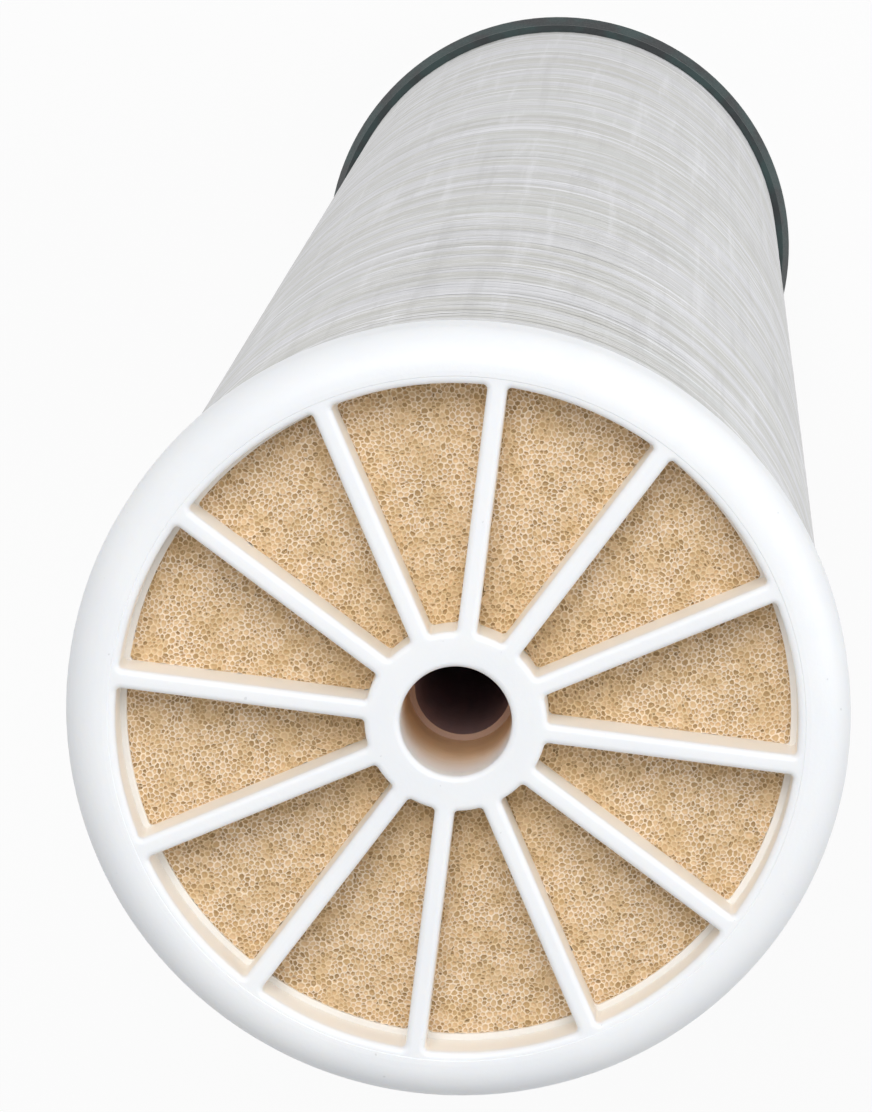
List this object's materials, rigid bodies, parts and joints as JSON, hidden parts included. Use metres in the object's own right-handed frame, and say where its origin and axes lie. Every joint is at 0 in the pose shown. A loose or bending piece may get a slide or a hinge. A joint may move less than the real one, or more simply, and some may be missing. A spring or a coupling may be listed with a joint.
{
  "type": "ro membrane element",
  "caption": "Spiral-wound reverse osmosis membrane element: spoked end caps and a central permeate tube in a glass-fibre shell, with a brine seal at the feed end.",
  "frame": {"origin": "centre of the feed end, on the plane that the feed end cap's rim stands on", "axes": "+Z along the element's axis from the feed end to the concentrate end; +X and +Y each lie along a spoke"},
  "size_m": [0.203, 0.203, 1.016],
  "materials": {
    "cap_plastic": "white moulded ABS, soft gloss",
    "shell_fibre": "wound glass fibre in resin, light grey",
    "roll_edge": "tan edges of wound membrane and feed net",
    "tube_plastic": "brown moulded tube, smooth",
    "tape_film": "thin clear tape",
    "seal_rubber": "dark green-black rubber, satin"
  },
  "bodies": {
    "root": {"concentrate_end_cap": "cap_plastic", "feed_end_cap": "cap_plastic", "brine_seal": "seal_rubber", "permeate_tube": "tube_plastic", "membrane_roll": "roll_edge", "roll_tape": "tape_film", "fibreglass_shell": "shell_fibre"}
  },
  "joints": []
}
